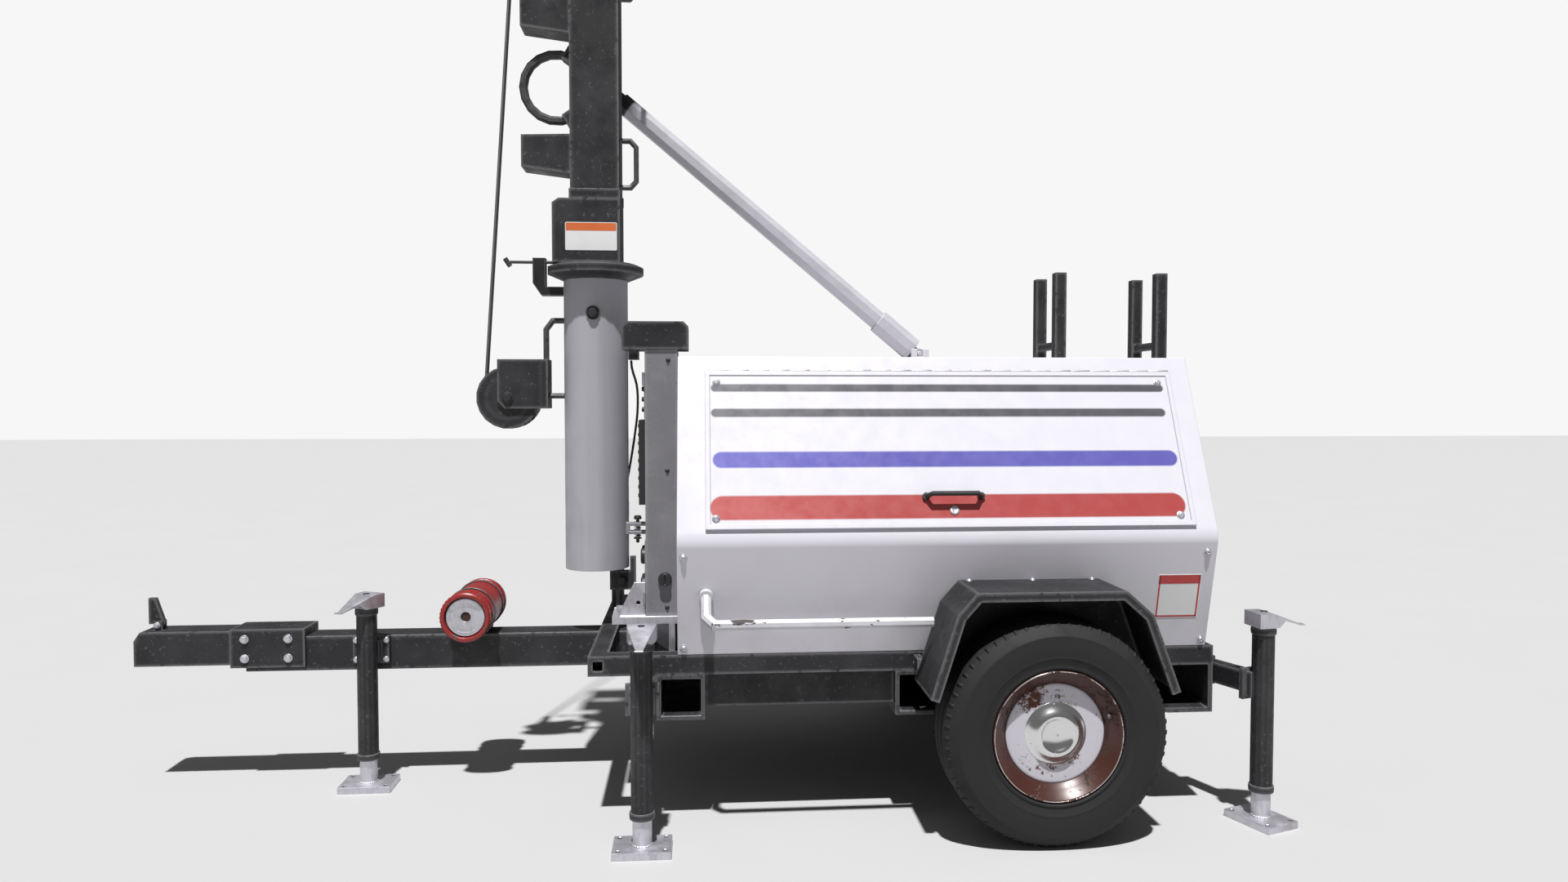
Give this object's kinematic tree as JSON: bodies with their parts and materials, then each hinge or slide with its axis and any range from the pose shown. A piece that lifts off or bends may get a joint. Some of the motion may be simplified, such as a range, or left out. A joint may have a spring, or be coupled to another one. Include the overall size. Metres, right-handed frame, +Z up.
{
  "type": "towable diesel lighting tower",
  "caption": "Single-axle trailer with an enclosed diesel generator, a folding telescoping lamp mast, a hand winch and swing-out levelling jacks.",
  "frame": {"origin": "ground level, at the centre of the standing machine's bounding box", "axes": "+X from the towing hitch to the rear, +Y from the control side to the far side, +Z up"},
  "size_m": [3.4205, 1.518, 4.445],
  "materials": {
    "frame_paint": "worn satin charcoal paint with paler rubbed edges",
    "body_paint": "smooth off-white paint",
    "mast_paint": "mid-grey satin paint",
    "pale_steel": "pale zinc-plated steel, lightly worn",
    "hub_paint": "silver paint with rust specks",
    "tyre_rubber": "matt black rubber",
    "canister_red": "red plastic, scuffed",
    "black_plastic": "matt black plastic",
    "lamp_housing": "black powder-coated casting",
    "engine_paint": "painted castings",
    "radiator_black": "matt black",
    "cable_sheath": "black sheath",
    "wire_rope": "dark galvanised rope"
  },
  "bodies": {
    "chassis": {"drawbar": "frame_paint", "coupler_housing": "frame_paint", "chassis_frame": "frame_paint", "subframe": "frame_paint", "axle_beam": "frame_paint", "fender_near": "frame_paint", "fender_far": "frame_paint", "enclosure_base": "frame_paint", "enclosure_canopy": "body_paint", "grab_rail_near": "pale_steel", "grab_rail_far": "pale_steel", "cradle_roof": "frame_paint", "cradle_rear": "frame_paint", "cabinet_shelf": "pale_steel", "control_cabinet": "frame_paint", "cabinet_hood": "frame_paint", "release_cable": "cable_sheath", "engine": "engine_paint", "alternator": "engine_paint", "radiator": "radiator_black", "fuel_tank": "black_plastic", "battery": "black_plastic", "document_canister": "canister_red", "tongue_jack_tube": "frame_paint"},
    "coupler_latch": {"coupler_latch": "frame_paint"},
    "isolator_knob": {"isolator_knob": "black_plastic"},
    "door_near": {"door_near": "body_paint", "door_handle_near": "black_plastic"},
    "wheel_near": {"tyre_near": "tyre_rubber", "wheel_rim_near": "hub_paint"},
    "door_far": {"door_far": "body_paint", "door_handle_far": "black_plastic"},
    "wheel_far": {"tyre_far": "tyre_rubber", "wheel_rim_far": "hub_paint"},
    "tongue_jack_leg": {"tongue_jack_leg": "pale_steel"},
    "tongue_jack_handle": {"tongue_jack_handle": "pale_steel"},
    "front_arm_near": {"front_jack_near_tube": "frame_paint"},
    "front_jack_near_leg": {"front_jack_near_leg": "pale_steel"},
    "front_jack_near_handle": {"front_jack_near_handle": "pale_steel"},
    "rear_arm_near": {"rear_jack_near_tube": "frame_paint"},
    "rear_jack_near_leg": {"rear_jack_near_leg": "pale_steel"},
    "rear_jack_near_handle": {"rear_jack_near_handle": "pale_steel"},
    "front_arm_far": {"front_jack_far_tube": "frame_paint"},
    "front_jack_far_leg": {"front_jack_far_leg": "pale_steel"},
    "front_jack_far_handle": {"front_jack_far_handle": "pale_steel"},
    "rear_arm_far": {"rear_jack_far_tube": "frame_paint"},
    "rear_jack_far_leg": {"rear_jack_far_leg": "pale_steel"},
    "rear_jack_far_handle": {"rear_jack_far_handle": "pale_steel"},
    "mast": {"mast_base_tube": "mast_paint", "mast_outer": "frame_paint", "winch_frame": "frame_paint", "winch_cable": "wire_rope"},
    "mast_middle": {"mast_middle": "frame_paint"},
    "mast_inner": {"mast_inner": "mast_paint"},
    "winch_drum": {"winch_drum": "frame_paint"},
    "strut": {"strut": "pale_steel"},
    "floodlight_1": {"floodlight_1": "lamp_housing"},
    "floodlight_2": {"floodlight_2": "lamp_housing"},
    "floodlight_3": {"floodlight_3": "lamp_housing"},
    "floodlight_4": {"floodlight_4": "lamp_housing"}
  },
  "joints": [
    {"name": "coupler_latch_turn", "type": "hinge", "parent": "chassis", "child": "coupler_latch", "pos_m": [-1.655, 0, 0.494], "axis": [0, 1, 0], "range_deg": [0, 50]},
    {"name": "isolator_turn", "type": "hinge", "parent": "chassis", "child": "isolator_knob", "pos_m": [-0.086, -0.3203, 0.668], "axis": [0, -1, 0], "range_deg": [0, 90]},
    {"name": "door_near_lift", "type": "hinge", "parent": "chassis", "child": "door_near", "pos_m": [0.7205, -0.34925, 1.27385], "axis": [-1, 0, 0], "range_deg": [0, 80]},
    {"name": "wheel_near_spin", "type": "hinge", "parent": "chassis", "child": "wheel_near", "pos_m": [0.955, -0.64, 0.305], "axis": [0, 1, 0], "continuous": true},
    {"name": "door_far_lift", "type": "hinge", "parent": "chassis", "child": "door_far", "pos_m": [0.7205, 0.34925, 1.27385], "axis": [1, 0, 0], "range_deg": [0, 80]},
    {"name": "wheel_far_spin", "type": "hinge", "parent": "chassis", "child": "wheel_far", "pos_m": [0.955, 0.64, 0.305], "axis": [0, 1, 0], "continuous": true},
    {"name": "tongue_jack_crank", "type": "hinge", "parent": "chassis", "child": "tongue_jack_handle", "pos_m": [-1, -0.103, 0.556], "axis": [0, 0, 1], "range_deg": [-2160, 8640]},
    {"name": "tongue_jack_lift", "type": "slide", "parent": "chassis", "child": "tongue_jack_leg", "axis": [0, 0, -1], "range_m": [-0.061, 0.241]},
    {"name": "front_arm_near_slide", "type": "slide", "parent": "chassis", "child": "front_arm_near", "axis": [0, -1, 0], "range_m": [-0.118, 0.2]},
    {"name": "front_jack_near_crank", "type": "hinge", "parent": "front_arm_near", "child": "front_jack_near_handle", "pos_m": [-0.138, -0.639, 0.556], "axis": [0, 0, 1], "range_deg": [-2160, 8640]},
    {"name": "front_jack_near_lift", "type": "slide", "parent": "front_arm_near", "child": "front_jack_near_leg", "axis": [0, 0, -1], "range_m": [-0.061, 0.241]},
    {"name": "rear_arm_near_swing", "type": "hinge", "parent": "chassis", "child": "rear_arm_near", "pos_m": [1.52, -0.39, 0.391], "axis": [0, 0, 1], "range_deg": [-20, 80]},
    {"name": "rear_jack_near_crank", "type": "hinge", "parent": "rear_arm_near", "child": "rear_jack_near_handle", "pos_m": [1.59, -0.579, 0.556], "axis": [0, 0, 1], "range_deg": [-2160, 8640]},
    {"name": "rear_jack_near_lift", "type": "slide", "parent": "rear_arm_near", "child": "rear_jack_near_leg", "axis": [0, 0, -1], "range_m": [-0.061, 0.241]},
    {"name": "front_arm_far_slide", "type": "slide", "parent": "chassis", "child": "front_arm_far", "axis": [0, 1, 0], "range_m": [-0.118, 0.2]},
    {"name": "front_jack_far_crank", "type": "hinge", "parent": "front_arm_far", "child": "front_jack_far_handle", "pos_m": [-0.138, 0.639, 0.556], "axis": [0, 0, 1], "range_deg": [-2160, 8640]},
    {"name": "front_jack_far_lift", "type": "slide", "parent": "front_arm_far", "child": "front_jack_far_leg", "axis": [0, 0, -1], "range_m": [-0.061, 0.241]},
    {"name": "rear_arm_far_swing", "type": "hinge", "parent": "chassis", "child": "rear_arm_far", "pos_m": [1.52, 0.39, 0.391], "axis": [0, 0, -1], "range_deg": [-20, 80]},
    {"name": "rear_jack_far_crank", "type": "hinge", "parent": "rear_arm_far", "child": "rear_jack_far_handle", "pos_m": [1.59, 0.579, 0.556], "axis": [0, 0, 1], "range_deg": [-2160, 8640]},
    {"name": "rear_jack_far_lift", "type": "slide", "parent": "rear_arm_far", "child": "rear_jack_far_leg", "axis": [0, 0, -1], "range_m": [-0.061, 0.241]},
    {"name": "mast_tilt", "type": "hinge", "parent": "chassis", "child": "mast", "pos_m": [-0.31, 0, 1.458], "axis": [0, 1, 0], "range_deg": [0, 90]},
    {"name": "mast_extend", "type": "slide", "parent": "mast", "child": "mast_middle", "axis": [0, 0, 1], "range_m": [0, 2]},
    {"name": "mast_top_extend", "type": "slide", "parent": "mast_middle", "child": "mast_inner", "axis": [0, 0, 1], "range_m": [0, 2]},
    {"name": "winch_drum_spin", "type": "hinge", "parent": "mast", "child": "winch_drum", "pos_m": [-0.581, 0, 1.197], "axis": [0, -1, 0], "range_deg": [0, 1740]},
    {"name": "strut_fold", "type": "hinge", "parent": "mast", "child": "strut", "pos_m": [-0.285, 0.168, 2.212], "axis": [0, 1, 0], "range_deg": [-131, 1]},
    {"name": "floodlight_1_tilt", "type": "hinge", "parent": "mast_inner", "child": "floodlight_1", "pos_m": [-0.305, -0.49, 4.165], "axis": [0, 1, 0], "range_deg": [-60, 60]},
    {"name": "floodlight_2_tilt", "type": "hinge", "parent": "mast_inner", "child": "floodlight_2", "pos_m": [-0.305, -0.17, 4.165], "axis": [0, 1, 0], "range_deg": [-60, 60]},
    {"name": "floodlight_3_tilt", "type": "hinge", "parent": "mast_inner", "child": "floodlight_3", "pos_m": [-0.305, 0.17, 4.165], "axis": [0, 1, 0], "range_deg": [-60, 60]},
    {"name": "floodlight_4_tilt", "type": "hinge", "parent": "mast_inner", "child": "floodlight_4", "pos_m": [-0.305, 0.49, 4.165], "axis": [0, 1, 0], "range_deg": [-60, 60]}
  ],
  "couplings": [
    {"joint": "tongue_jack_lift", "follows": "tongue_jack_crank", "m_per_rad": 0.0015915},
    {"joint": "front_jack_near_lift", "follows": "front_jack_near_crank", "m_per_rad": 0.0015915},
    {"joint": "rear_jack_near_lift", "follows": "rear_jack_near_crank", "m_per_rad": 0.0015915},
    {"joint": "front_jack_far_lift", "follows": "front_jack_far_crank", "m_per_rad": 0.0015915},
    {"joint": "rear_jack_far_lift", "follows": "rear_jack_far_crank", "m_per_rad": 0.0015915},
    {"joint": "mast_top_extend", "follows": "mast_extend", "ratio": 1},
    {"joint": "winch_drum_spin", "follows": "mast_extend", "rad_per_m": 15.15},
    {"joint": "strut_fold", "follows": "mast_tilt", "ratio": -1.45}
  ]
}
